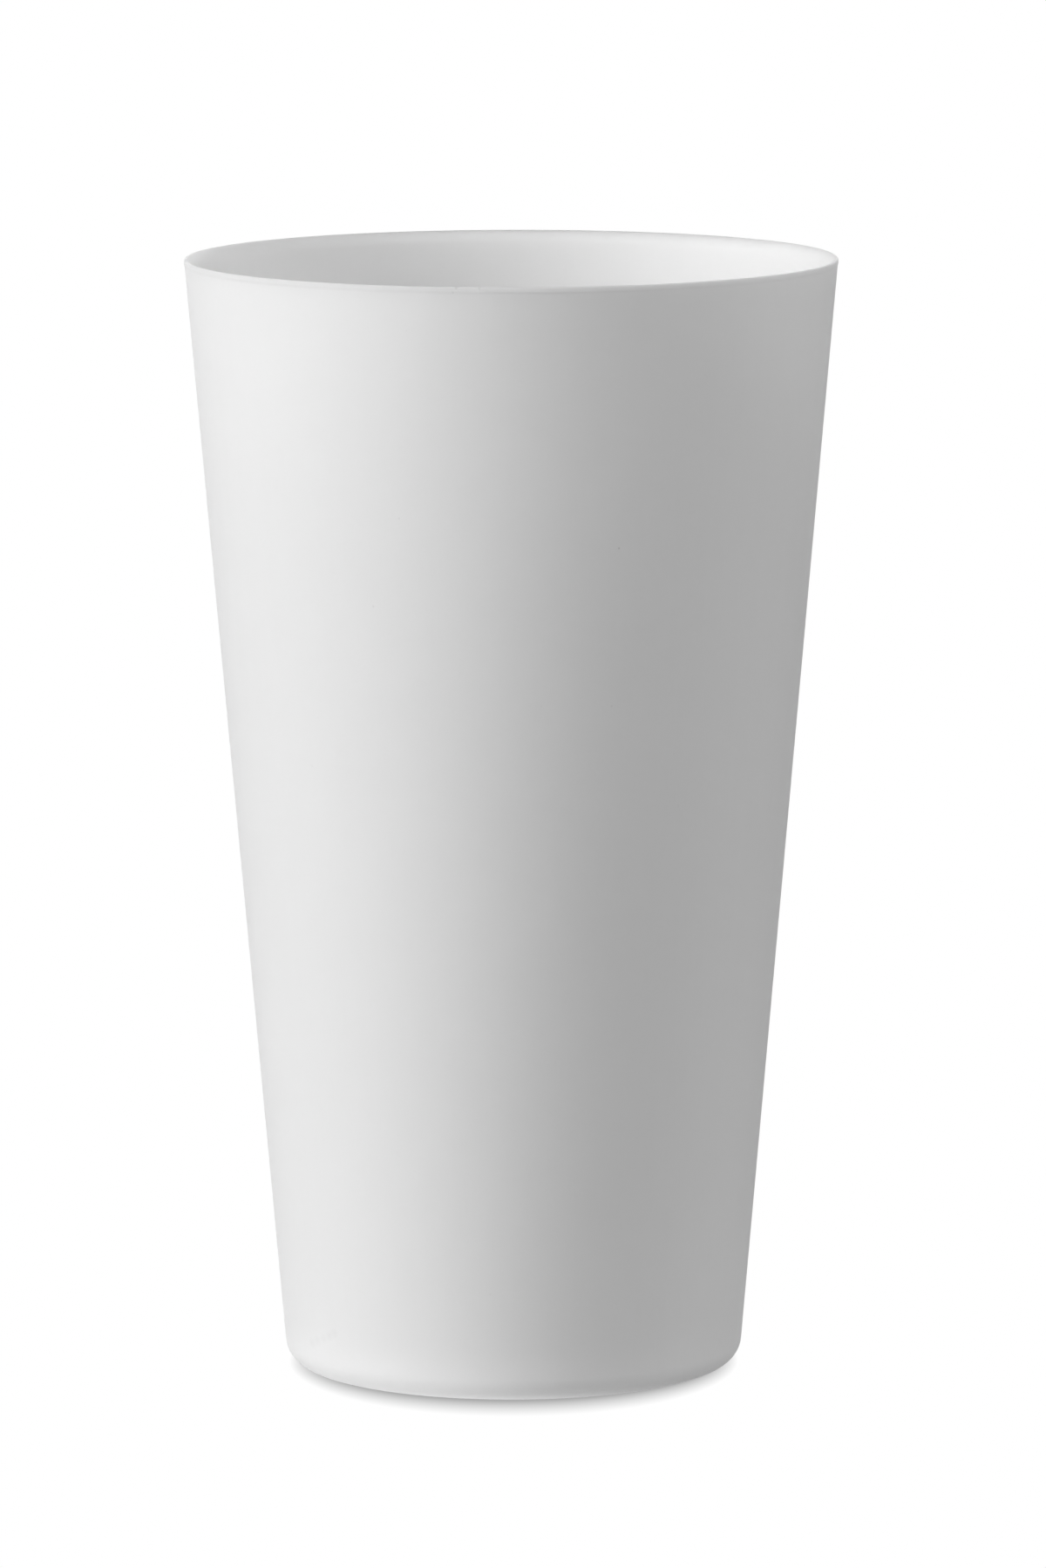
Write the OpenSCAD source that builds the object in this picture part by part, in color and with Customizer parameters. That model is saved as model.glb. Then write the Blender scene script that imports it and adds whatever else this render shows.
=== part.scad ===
// Reusable event cup: one moulded piece with a straight drafted wall, a full-round drinking lip,
// a rounded foot and a recessed underside. Millimetres, +Z up, origin at the middle of the base.

/* [Cup] */
// Overall height, from the table to the top of the lip
cup_h = 150; // [100:1:200]
// Outer diameter across the lip
rim_d = 87.5; // [80:0.5:110]
// Outer diameter that the straight wall would reach at the table
foot_d = 61.2; // [50:0.2:74]
// Thickness of the side wall, measured level
wall_t = 1.4; // [1:0.1:2.5]

/* [Lip] */
// How far the lip stands proud of the outer wall at the parting line
lip_proud = 0.06; // [0.02:0.02:0.5]

/* [Foot] */
// Radius of the outer corner, where the wall turns under
foot_round = 3.5; // [2:0.5:8]
// Width of the flat ring that the cup stands on
ring_w = 2; // [1:0.1:5]
// Radius on the inner edge of that ring
ring_edge_r = 0.4; // [0.1:0.1:0.8]
// How far the underside is raised inside the ring
recess_h = 1.2; // [1:0.1:3]
// Radius where the ring's inner face meets the raised underside
recess_round = 0.6; // [0.2:0.1:0.9]

/* [Floor] */
// Thickness of the floor over the recess
floor_t = 1.8; // [1.2:0.1:3]
// Radius inside, where the wall meets the floor
inner_round = 5; // [2:0.5:10]

/* [Gate] */
// Diameter of the shallow well round the injection point, under the floor
well_d = 9; // [5:0.5:14]
// Depth of that well
well_h = 0.5; // [0.2:0.1:0.9]
// Diameter of the stub that the injection point leaves
gate_d = 1.8; // [1:0.1:3]
// Height of that stub, which stays inside the well
gate_h = 0.3; // [0.1:0.1:0.8]

/* [Hidden] */

// How far a cutting shape reaches past the material that it cuts
past = 2;
// Segments in a drawn circle
round_fn = 180;

rim_r = rim_d / 2;
foot_r = foot_d / 2;

// The lip is the upper half of a disc, as wide as the wall with its proud edge
lip_r = (wall_t + lip_proud) / 2;
part_z = cup_h - lip_r;

// The wall leans outward at one slope from the table to the parting line
slope = (rim_r - lip_proud - foot_r) / part_z;
lean = atan(slope);

// Where the flat ring meets the rounded corner, and the ring's two edges
ring_outer_r = corner_centre_r(foot_r, 0, foot_round);
ring_inner_r = ring_outer_r - ring_w - ring_edge_r;

floor_z = recess_h + floor_t;
gate_base_z = recess_h + well_h;

// Radius of a leaning wall at a height, from its radius at the table
function wall_r(base_r, z) = base_r + slope * z;

// Centre of the arc that touches a leaning wall and a level line, rounded up by a hair
// so that the arc always meets the wall
function corner_centre_r(base_r, level, r) =
    ceil((wall_r(base_r, level + r) - r / cos(lean)) * 10000) / 10000;

// The sliver between a sharp lower corner of a leaning outline and its rounding
module corner_waste(base_r, level, r) {
    centre = [corner_centre_r(base_r, level, r), level + r];
    reach = r + past;
    difference() {
        polygon([
            centre,
            [centre.x, level - past],
            [centre.x + reach, level - past],
            centre + reach * [cos(lean), -sin(lean)]
        ]);
        translate(centre) circle(r = r, $fn = round_fn);
    }
}

// A rounded square corner: the sliver between the corner at the origin and a disc
// that touches both of its sides, which run along +X and +Y
module square_corner_waste(r) {
    difference() {
        translate([-past, -past]) square(r + past);
        translate([r, r]) circle(r = r, $fn = round_fn);
    }
}

// Half section of a body that fills a leaning wall, from a rounded lower corner up to a height
module leaning_outline(base_r, level, top_z, corner_r) {
    difference() {
        polygon([
            [0, level],
            [wall_r(base_r, level), level],
            [wall_r(base_r, top_z), top_z],
            [0, top_z]
        ]);
        corner_waste(base_r, level, corner_r);
    }
}

// The raised underside, with its rounded upper edge
module recess_outline() {
    difference() {
        translate([0, -past]) square([ring_inner_r, recess_h + past]);
        translate([ring_inner_r, recess_h]) rotate(180) square_corner_waste(recess_round);
    }
}

// The well round the injection point, without the stub in its middle
module gate_outline() {
    difference() {
        translate([0, recess_h - past]) square([well_d / 2, well_h + past]);
        translate([0, gate_base_z - gate_h]) square([gate_d / 2, gate_h + past]);
    }
}

// Upper half of the lip's disc, its flat side on the parting line
module lip_outline() {
    translate([rim_r - lip_r, part_z])
        intersection() {
            circle(r = lip_r, $fn = round_fn);
            translate([-past, 0]) square([2 * past, past]);
        }
}

module cup_outline() {
    difference() {
        leaning_outline(foot_r, 0, part_z, foot_round);
        leaning_outline(foot_r - wall_t, floor_z, part_z, inner_round);
        recess_outline();
        translate([ring_inner_r, 0]) square_corner_waste(ring_edge_r);
        gate_outline();
    }
    lip_outline();
}

module cup() {
    color("whitesmoke") rotate_extrude($fn = round_fn) cup_outline();
}

cup();
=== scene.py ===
"""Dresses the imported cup: one turned mesh in frosted white plastic, on white in soft studio light."""
import math

import bmesh
import bpy
from mathutils import Matrix, Vector


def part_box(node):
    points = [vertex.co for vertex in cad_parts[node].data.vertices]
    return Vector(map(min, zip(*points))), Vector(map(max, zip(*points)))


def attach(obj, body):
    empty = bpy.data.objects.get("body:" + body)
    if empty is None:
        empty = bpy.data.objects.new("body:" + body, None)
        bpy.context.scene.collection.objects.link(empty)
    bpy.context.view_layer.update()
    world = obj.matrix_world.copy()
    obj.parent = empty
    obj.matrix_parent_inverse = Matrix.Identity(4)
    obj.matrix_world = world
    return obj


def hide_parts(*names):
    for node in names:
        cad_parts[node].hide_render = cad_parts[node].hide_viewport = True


# The photograph's frame and camera. Pixel places are in the photograph's own 1200 x 1799 frame.
PHOTO_W = 1200
PHOTO_H = 1799
CUP_MIDDLE_PX = (587.8, 932.2)
PX_PER_M = 8510.0
CAMERA_DISTANCE = 1.390
CAMERA_ELEVATION = math.radians(8.15)
CAMERA_ROLL = math.radians(-0.118)
SENSOR = 0.036
CLIP = (0.05, 50)

# The cup's section, in metres. Its height and rim come from the frame.
FOOT_R = 0.0306
WALL_T = 0.0014
LIP_PROUD = 0.00006
LIP_EDGE_R = 0.00025
LIP_TURN = math.radians(120)
FOOT_ROUND = 0.0035
RING_W = 0.002
RING_EDGE_R = 0.0004
RECESS_H = 0.0012
RECESS_ROUND = 0.0006
FLOOR_T = 0.0018
INNER_ROUND = 0.005
WELL_R = 0.0045
WELL_H = 0.0005
GATE_R = 0.0009
GATE_H = 0.0003

# How finely the section is turned
TURNS = 288
WALL_STEP = 0.004
ARC_STEP = math.radians(7.5)
SHARP_ANGLE = math.radians(35)

# Two small nicks in the lip: how far round from the front, how wide either way, and how deep
NICKS = (math.radians(-9.4), math.radians(-5.4))
NICK_HALF = math.radians(0.16)
NICK_DEPTH = 0.00012
NICK_TILT = math.radians(75)
NICK_REACH = math.radians(35)
NICK_COLUMNS = (-3, -2, -1, -0.5, 0, 0.5, 1, 2, 3)

# The plastic. The milk depth is how far light goes inside it before it turns.
PLASTIC = 0.96
MILK_DEPTH = 0.002
WALL_ROUGHNESS = 0.6
LIP_ROUGHNESS = 0.5
SHINE = 0.1
PLASTIC_IOR = 1.49
# Painted shade along the parting line, standing in for the shade of its small step
PART_LINE_PAINTED_SHADE = 0.98
PART_HALF = 0.00025

# Its unevenness. Scales are in noise cells a metre, and levels are at the noise's low and high ends.
NOISE_ENDS = (0.3, 0.7)
CLOUD_SCALE = 45
CLOUD_LEVELS = (0.985, 1.0)
STREAK_SCALE = 420
STREAK_LEVELS = (0.993, 1.0)
STREAK_RISE = 0.04
PATCH_SCALE = 130
PATCH_LEVELS = (0.94, 1.08)
WAVE_SCALE = 110
WAVE_HEIGHT = 0.00006
GRAIN_SCALE = 3200
GRAIN_HEIGHT = 0.000012
BUMP_STRENGTH = 0.5

# Dark specks in the outer wall: degrees round from the front, height and radius in mm, shade
SPECKS = (
    (20.1, 115.3, 0.22, 0.76), (-27.0, 107.4, 0.25, 0.91), (-21.0, 119.3, 0.25, 0.93),
    (19.6, 94.3, 0.25, 0.93), (5.6, 94.6, 0.22, 0.96), (-18.4, 144.1, 0.22, 0.95),
    (4.7, 144.4, 0.18, 0.97), (35.5, 80.2, 0.25, 0.95), (33.7, 87.3, 0.22, 0.96),
    (-44.0, 85.2, 0.25, 0.95), (-5.6, 15.0, 0.25, 0.96), (21.5, 18.4, 0.20, 0.98),
)
# Dark spots in the two nicks, in the same terms: dirt, and painted shade of the nicks themselves
NICK_DIRT_AND_SHADE = ((-9.4, 149.9, 0.30, 0.84), (-5.4, 149.9, 0.30, 0.87), (-10.0, 149.3, 0.25, 0.93))
# A faint smudge above the foot, made of soft specks along a short slanting line
SMUDGE = ((-60.6, 5.3), (-57.8, 5.9), (-54.9, 6.4), (-52.4, 7.0), (-50.0, 7.5))
SMUDGE_R = 1.0
SMUDGE_SHADE = 0.965

# The floor and the light. The glows stand in for light that the table throws up at the wall and the foot;
# the foot's goes from its left level to its right one. The shadow's ellipses are half sizes along X and Y.
FLOOR_HALF = 6.0
TABLE = 0.25
TABLE_GLOW = 0.11
TABLE_GLOW_REACH = (0.0275, 0.30)
FOOT_GLOW = (0.51, 0.19)
FOOT_GLOW_TURN = (-0.010, 0.029)
FOOT_GLOW_REACH = (0.0275, 0.034)
SHADOW_INNER = (0.0278, 0.0297)
SHADOW_OUTER = (0.0302, 0.0380)
SHADOW_DARK = 0.41
SHADOW_FADE = (-0.2, 1.1)
AMBIENT = 0.15
LAMP_DISTANCE = 2.6
LAMP_SIZE = (1.2, 1.0)
TOP_LAMP_SIZE = (1.6, 1.6)

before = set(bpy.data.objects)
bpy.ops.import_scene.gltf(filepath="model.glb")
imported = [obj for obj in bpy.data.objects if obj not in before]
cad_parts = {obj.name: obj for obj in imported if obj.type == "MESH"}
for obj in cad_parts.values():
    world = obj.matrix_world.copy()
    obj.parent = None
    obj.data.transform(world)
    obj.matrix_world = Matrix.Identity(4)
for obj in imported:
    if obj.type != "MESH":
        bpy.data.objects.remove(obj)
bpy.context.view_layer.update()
low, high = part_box("cup")
CUP_H = high.z
RIM_R = (high.x - low.x) / 2
LIP_R = (WALL_T + LIP_PROUD) / 2
PART_Z = CUP_H - LIP_R
SLOPE = (RIM_R - LIP_PROUD - FOOT_R) / PART_Z
LEAN = math.atan(SLOPE)


def add_camera():
    """A long lens at the photograph's height, aimed so that the cup falls where the photograph has it."""
    middle = Vector((0, 0, CUP_H / 2))
    back = Vector((0, -math.cos(CAMERA_ELEVATION), math.sin(CAMERA_ELEVATION)))
    right = Vector((1, 0, 0))
    up = right.cross(-back)
    aim = middle
    aim = aim + right * (PHOTO_W / 2 - CUP_MIDDLE_PX[0]) / PX_PER_M
    aim = aim + up * (CUP_MIDDLE_PX[1] - PHOTO_H / 2) / PX_PER_M
    place = middle + back * CAMERA_DISTANCE
    data = bpy.data.cameras.new("camera")
    data.sensor_width = SENSOR * 1000
    data.lens = PX_PER_M * CAMERA_DISTANCE * data.sensor_width / PHOTO_H
    data.clip_start, data.clip_end = CLIP
    camera = bpy.data.objects.new("camera", data)
    bpy.context.scene.collection.objects.link(camera)
    look = (aim - place).to_track_quat("-Z", "Y").to_matrix().to_4x4()
    camera.matrix_world = Matrix.Translation(place) @ look @ Matrix.Rotation(CAMERA_ROLL, 4, "Z")
    bpy.context.scene.camera = camera


def wall_r(base_r, z):
    """Radius of a leaning wall at a height, from its radius at the table."""
    return base_r + SLOPE * z


def corner_centre(base_r, level, r):
    """Centre of the arc that touches a leaning wall and a level line."""
    return wall_r(base_r, level + r) - r / math.cos(LEAN), level + r


def arc(centre, r, start, end):
    """Points (radius, height) along an arc; angles are from the outward direction, up."""
    steps = max(4, math.ceil(abs(end - start) / ARC_STEP))
    angles = [start + (end - start) * i / steps for i in range(steps + 1)]
    return [(centre[0] + r * math.cos(a), centre[1] + r * math.sin(a)) for a in angles]


def filled(points):
    """The same path with points added, so that no stretch is longer than WALL_STEP."""
    out = [points[0]]
    for a, b in zip(points, points[1:]):
        steps = max(1, math.ceil(math.dist(a, b) / WALL_STEP))
        for i in range(1, steps + 1):
            out.append((a[0] + (b[0] - a[0]) * i / steps, a[1] + (b[1] - a[1]) * i / steps))
    return out


def lip_section():
    """The lip: a crisp outer edge, then a long round fall that meets the inner wall."""
    edge = (RIM_R - LIP_EDGE_R, CUP_H - LIP_EDGE_R)
    room = (edge[0] - wall_r(FOOT_R - WALL_T, edge[1])) * math.cos(LEAN)
    share = math.cos(LIP_TURN + LEAN)
    fall_r = (room + LIP_EDGE_R * share) / (1 + share)
    back = fall_r - LIP_EDGE_R
    centre = (edge[0] - back * math.cos(LIP_TURN), edge[1] - back * math.sin(LIP_TURN))
    fall = arc(centre, fall_r, LIP_TURN, math.pi - LEAN)
    return [(RIM_R, PART_Z)] + arc(edge, LIP_EDGE_R, 0, LIP_TURN) + fall[1:]


def cup_section():
    """The cup's section from the middle of its underside, out, up, over the lip and in to the floor."""
    half = math.pi / 2
    foot = corner_centre(FOOT_R, 0, FOOT_ROUND)
    ring_r = foot[0] - RING_W - RING_EDGE_R
    floor_z = RECESS_H + FLOOR_T
    gate_z = RECESS_H + WELL_H
    inside = corner_centre(FOOT_R - WALL_T, floor_z, INNER_ROUND)
    path = [(0, gate_z - GATE_H), (GATE_R, gate_z - GATE_H), (GATE_R, gate_z)]
    path += [(WELL_R, gate_z), (WELL_R, RECESS_H)]
    path += arc((ring_r - RECESS_ROUND, RECESS_H - RECESS_ROUND), RECESS_ROUND, half, 0)
    path += arc((ring_r + RING_EDGE_R, RING_EDGE_R), RING_EDGE_R, -math.pi, -half)
    path += arc(foot, FOOT_ROUND, -half, -LEAN)
    path += [(RIM_R - LIP_PROUD, PART_Z)]
    path += lip_section()
    path += arc(inside, INNER_ROUND, -LEAN, -half)
    path += [(0, floor_z)]
    return filled(path)


def columns():
    """Angles round the axis, from the front: even steps, with finer ones at the nicks."""
    step = 2 * math.pi / TURNS
    angles = [i * step - math.pi for i in range(TURNS)]
    angles = [a for a in angles if all(abs(a - n) > 4 * NICK_HALF for n in NICKS)]
    angles += [n + k * NICK_HALF for n in NICKS for k in NICK_COLUMNS]
    return sorted(angles)


def nicked(r, z, angle):
    """A point of the section at an angle, pressed in where a nick in the lip lies."""
    out, up = r - (RIM_R - LIP_R), z - PART_Z
    if up <= 0:
        return r, z
    tilt = (math.atan2(up, out) - NICK_TILT) / NICK_REACH
    across = min(abs(angle - n) for n in NICKS) / NICK_HALF
    shrink = 1 - NICK_DEPTH / LIP_R * math.exp(-across ** 2 - tilt ** 2)
    return RIM_R - LIP_R + out * shrink, PART_Z + up * shrink


def turned(name, section):
    """A closed mesh turned from a section that starts and ends on the axis."""
    mesh = bmesh.new()
    first = mesh.verts.new((0, 0, section[0][1]))
    last = mesh.verts.new((0, 0, section[-1][1]))
    angles = columns()
    rings = []
    for r, z in section[1:-1]:
        ring = []
        for a in angles:
            here_r, here_z = nicked(r, z, a)
            ring.append(mesh.verts.new((here_r * math.sin(a), -here_r * math.cos(a), here_z)))
        rings.append(ring)
    for i in range(len(angles)):
        j = (i + 1) % len(angles)
        mesh.faces.new((first, rings[0][j], rings[0][i]))
        mesh.faces.new((last, rings[-1][i], rings[-1][j]))
        for a, b in zip(rings, rings[1:]):
            mesh.faces.new((a[i], a[j], b[j], b[i]))
    data = bpy.data.meshes.new(name)
    mesh.to_mesh(data)
    mesh.free()
    piece = bpy.data.objects.new(name, data)
    bpy.context.scene.collection.objects.link(piece)
    return piece


def make(tree, kind, inputs, **settings):
    """A shader node. Each input takes a plain value or another node's output."""
    node = tree.nodes.new(kind)
    for name, value in settings.items():
        setattr(node, name, value)
    for name, value in inputs.items():
        if isinstance(value, bpy.types.NodeSocket):
            tree.links.new(value, node.inputs[name])
        else:
            node.inputs[name].default_value = value
    return node


def times(tree, a, b):
    return make(tree, "ShaderNodeMath", {0: a, 1: b}, operation="MULTIPLY").outputs[0]


def ramp(tree, value, low, high, at_low, at_high):
    """One level below low, another above high, and a smooth change between them."""
    inputs = {"Value": value, "From Min": low, "From Max": high, "To Min": at_low, "To Max": at_high}
    return make(tree, "ShaderNodeMapRange", inputs, interpolation_type="SMOOTHSTEP").outputs["Result"]


def noise(tree, place, scale, detail):
    inputs = {"Vector": place, "Scale": scale, "Detail": detail}
    return make(tree, "ShaderNodeTexNoise", inputs).outputs["Fac"]


def flow_place(tree, place):
    """Places that hardly change up the wall, so that noise on them runs in upright streaks."""
    flat = make(tree, "ShaderNodeVectorMath", {0: place, 1: (1, 1, 0)}, operation="MULTIPLY").outputs[0]
    round_axis = make(tree, "ShaderNodeVectorMath", {0: flat}, operation="NORMALIZE").outputs[0]
    inputs = {0: round_axis, 1: (RIM_R, RIM_R, 0)}
    on_ring = make(tree, "ShaderNodeVectorMath", inputs, operation="MULTIPLY")
    stretched = make(tree, "ShaderNodeVectorMath", {0: place, 1: (0, 0, STREAK_RISE)}, operation="MULTIPLY")
    both = {0: on_ring.outputs[0], 1: stretched.outputs[0]}
    return make(tree, "ShaderNodeVectorMath", both, operation="ADD").outputs[0]


def spot(tree, place, degrees, height, radius, shade):
    """A soft dark spot on the outer wall, its size in mm."""
    a = math.radians(degrees)
    z = height / 1000
    r = wall_r(FOOT_R, z)
    centre = (r * math.sin(a), -r * math.cos(a), z)
    gap = make(tree, "ShaderNodeVectorMath", {0: place, 1: centre}, operation="DISTANCE").outputs["Value"]
    return ramp(tree, gap, 0, radius / 1000, shade, 1.0)


def part_line_painted_shade(tree, place, height):
    """Painted shade of the small step where the halves of the mould meet: a fine line under the lip, on the
    outside alone.
    """
    above = make(tree, "ShaderNodeMath", {0: height, 1: PART_Z}, operation="SUBTRACT").outputs[0]
    away = make(tree, "ShaderNodeMath", {0: above}, operation="ABSOLUTE").outputs[0]
    flat = make(tree, "ShaderNodeVectorMath", {0: place, 1: (1, 1, 0)}, operation="MULTIPLY").outputs[0]
    from_axis = make(tree, "ShaderNodeVectorMath", {0: flat}, operation="LENGTH").outputs["Value"]
    inputs = {0: RIM_R - WALL_T / 2, 1: from_axis}
    inside = make(tree, "ShaderNodeMath", inputs, operation="SUBTRACT").outputs[0]
    away = make(tree, "ShaderNodeMath", {0: away, 1: inside}, operation="MAXIMUM").outputs[0]
    return ramp(tree, away, PART_HALF / 2, PART_HALF, PART_LINE_PAINTED_SHADE, 1.0)


def plastic_shade(tree, place, height):
    """How bright the plastic is, place by place, with painted shade at the parting line and in the nicks.
    """
    clouds = noise(tree, place, CLOUD_SCALE, 2)
    shade = times(tree, PLASTIC, ramp(tree, clouds, *NOISE_ENDS, *CLOUD_LEVELS))
    streaks = noise(tree, flow_place(tree, place), STREAK_SCALE, 2)
    shade = times(tree, shade, ramp(tree, streaks, *NOISE_ENDS, *STREAK_LEVELS))
    # Painted shade along the parting line under the lip
    shade = times(tree, shade, part_line_painted_shade(tree, place, height))
    # Dust specks, then the dirt and painted shade in the nicks
    for speck in SPECKS + NICK_DIRT_AND_SHADE:
        shade = times(tree, shade, spot(tree, place, *speck))
    for degrees, z in SMUDGE:
        shade = times(tree, shade, spot(tree, place, degrees, z, SMUDGE_R, SMUDGE_SHADE))
    inputs = {"Red": shade, "Green": shade, "Blue": shade}
    return make(tree, "ShaderNodeCombineColor", inputs).outputs["Color"]


def plastic_roughness(tree, place, height):
    """Satin on the wall, a little smoother on the polished lip, and uneven by a few hundredths."""
    level = ramp(tree, height, PART_Z - PART_HALF, PART_Z + PART_HALF, WALL_ROUGHNESS, LIP_ROUGHNESS)
    patches = noise(tree, place, PATCH_SCALE, 3)
    return times(tree, level, ramp(tree, patches, *NOISE_ENDS, *PATCH_LEVELS))


def plastic_bump(tree, place):
    """The fine satin grain of the mould over a very shallow, slow waviness."""
    waves = noise(tree, place, WAVE_SCALE, 1)
    inputs = {"Height": waves, "Distance": WAVE_HEIGHT, "Strength": BUMP_STRENGTH}
    slow = make(tree, "ShaderNodeBump", inputs).outputs["Normal"]
    grain = noise(tree, place, GRAIN_SCALE, 2)
    inputs = {"Height": grain, "Distance": GRAIN_HEIGHT, "Strength": BUMP_STRENGTH, "Normal": slow}
    return make(tree, "ShaderNodeBump", inputs).outputs["Normal"]


def frosted_plastic():
    """Milky polypropylene with a satin mould finish, faint clouds and streaks, and a few dark specks."""
    material = bpy.data.materials.new("frosted_plastic")
    material.use_nodes = True
    tree = material.node_tree
    place = tree.nodes.new("ShaderNodeTexCoord").outputs["Object"]
    height = make(tree, "ShaderNodeSeparateXYZ", {0: place}).outputs["Z"]
    shader = tree.nodes["Principled BSDF"]
    tree.links.new(plastic_shade(tree, place, height), shader.inputs["Base Color"])
    tree.links.new(plastic_roughness(tree, place, height), shader.inputs["Roughness"])
    tree.links.new(plastic_bump(tree, place), shader.inputs["Normal"])
    shader.inputs["IOR"].default_value = PLASTIC_IOR
    shader.inputs["Specular IOR Level"].default_value = SHINE
    shader.inputs["Subsurface Weight"].default_value = 1
    shader.inputs["Subsurface Radius"].default_value = (1, 1, 1)
    shader.inputs["Subsurface Scale"].default_value = MILK_DEPTH
    return material


def add_cup():
    cup = turned("cup_body", cup_section())
    cup.data.materials.append(frosted_plastic())
    cup.data.shade_smooth()
    cup.data.set_sharp_from_angle(angle=SHARP_ANGLE)
    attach(cup, "root")
    # It stands for the source's mesh, because it has the crisper lip and the nicks, and smooth shading.
    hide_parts("cup")
    return cup


def seen(tree):
    """1 for rays from the camera and those that shiny or clear surfaces pass on, 0 for all others."""
    path = tree.nodes.new("ShaderNodeLightPath").outputs
    inputs = {0: path["Is Camera Ray"], 1: path["Is Glossy Ray"]}
    either = make(tree, "ShaderNodeMath", inputs, operation="MAXIMUM").outputs[0]
    inputs = {0: either, 1: path["Is Transmission Ray"]}
    return make(tree, "ShaderNodeMath", inputs, operation="MAXIMUM").outputs[0]


def contact_shadow(tree, place):
    """How white the floor looks: it darkens from an outer ellipse to an inner one, towards the foot."""
    sizes = []
    for half_x, half_y in (SHADOW_INNER, SHADOW_OUTER):
        inputs = {0: place, 1: (1 / half_x, 1 / half_y, 0)}
        scaled = make(tree, "ShaderNodeVectorMath", inputs, operation="MULTIPLY").outputs[0]
        length = make(tree, "ShaderNodeVectorMath", {0: scaled}, operation="LENGTH")
        sizes.append(length.outputs["Value"])
    past_inner = make(tree, "ShaderNodeMath", {0: sizes[0], 1: 1.0}, operation="SUBTRACT").outputs[0]
    between = make(tree, "ShaderNodeMath", {0: sizes[0], 1: sizes[1]}, operation="SUBTRACT").outputs[0]
    outward = make(tree, "ShaderNodeMath", {0: past_inner, 1: between}, operation="DIVIDE").outputs[0]
    levels = {"Value": outward, "To Min": SHADOW_DARK, "To Max": 1.0}
    levels["From Min"], levels["From Max"] = SHADOW_FADE
    return make(tree, "ShaderNodeMapRange", levels).outputs["Result"]


def floor_material():
    """White for the camera, with a soft shadow round the foot; for all other light a grey table with a
    painted glow near the foot.
    """
    material = bpy.data.materials.new("floor")
    material.use_nodes = True
    tree = material.node_tree
    tree.nodes.clear()
    place = tree.nodes.new("ShaderNodeNewGeometry").outputs["Position"]
    from_axis = make(tree, "ShaderNodeVectorMath", {0: place}, operation="LENGTH").outputs["Value"]
    plain = make(tree, "ShaderNodeBsdfDiffuse", {"Color": (TABLE, TABLE, TABLE, 1)})
    across = make(tree, "ShaderNodeSeparateXYZ", {0: place}).outputs["X"]
    sides = ramp(tree, across, *FOOT_GLOW_TURN, *FOOT_GLOW)
    near = times(tree, sides, ramp(tree, from_axis, *FOOT_GLOW_REACH, 1, 0))
    wide = ramp(tree, from_axis, *TABLE_GLOW_REACH, TABLE_GLOW, 0)
    both = make(tree, "ShaderNodeMath", {0: near, 1: wide}, operation="ADD").outputs[0]
    glow = make(tree, "ShaderNodeEmission", {"Strength": both})
    table = make(tree, "ShaderNodeAddShader", {0: plain.outputs[0], 1: glow.outputs[0]})
    white = make(tree, "ShaderNodeEmission", {"Strength": contact_shadow(tree, place)})
    mix = make(tree, "ShaderNodeMixShader", {0: seen(tree), 1: table.outputs[0], 2: white.outputs[0]})
    make(tree, "ShaderNodeOutputMaterial", {"Surface": mix.outputs[0]})
    return material


def add_floor():
    data = bpy.data.meshes.new("floor")
    corners = [(-FLOOR_HALF, -FLOOR_HALF, 0), (FLOOR_HALF, -FLOOR_HALF, 0)]
    corners += [(FLOOR_HALF, FLOOR_HALF, 0), (-FLOOR_HALF, FLOOR_HALF, 0)]
    data.from_pydata(corners, [], [(0, 1, 2, 3)])
    floor = bpy.data.objects.new("floor", data)
    bpy.context.scene.collection.objects.link(floor)
    data.materials.append(floor_material())


def add_world():
    """White behind the cup for the camera, and a little light from all round for everything else."""
    world = bpy.data.worlds.new("world")
    bpy.context.scene.world = world
    world.use_nodes = True
    tree = world.node_tree
    levels = {"Value": seen(tree), "To Min": AMBIENT, "To Max": 1.0}
    strength = make(tree, "ShaderNodeMapRange", levels).outputs["Result"]
    back = tree.nodes["Background"]
    back.inputs["Color"].default_value = (1, 1, 1, 1)
    tree.links.new(strength, back.inputs["Strength"])


def add_softbox(name, azimuth, elevation, power, size=LAMP_SIZE):
    """A lamp round the cup; azimuth 0 is in front and 90 is on the right."""
    a, e = math.radians(azimuth), math.radians(elevation)
    toward = Vector((math.sin(a) * math.cos(e), -math.cos(a) * math.cos(e), math.sin(e)))
    data = bpy.data.lights.new(name, "AREA")
    data.shape = "RECTANGLE"
    data.size, data.size_y = size
    data.energy = power
    lamp = bpy.data.objects.new(name, data)
    bpy.context.scene.collection.objects.link(lamp)
    lamp.location = Vector((0, 0, CUP_H / 2)) + toward * LAMP_DISTANCE
    lamp.rotation_mode = "QUATERNION"
    lamp.rotation_quaternion = (-toward).to_track_quat("-Z", "Y")


add_camera()
add_cup()
add_floor()
add_world()
add_softbox("key", -60, 24, 30.5)
add_softbox("low_key", -75, 8, 21.9)
add_softbox("front", 0, 26, 10)
add_softbox("side", 90, 20, 17.3)
add_softbox("back", 170, 20, 7.5)
add_softbox("top", 0, 75, 4, TOP_LAMP_SIZE)
bpy.context.scene.view_settings.view_transform = "Standard"
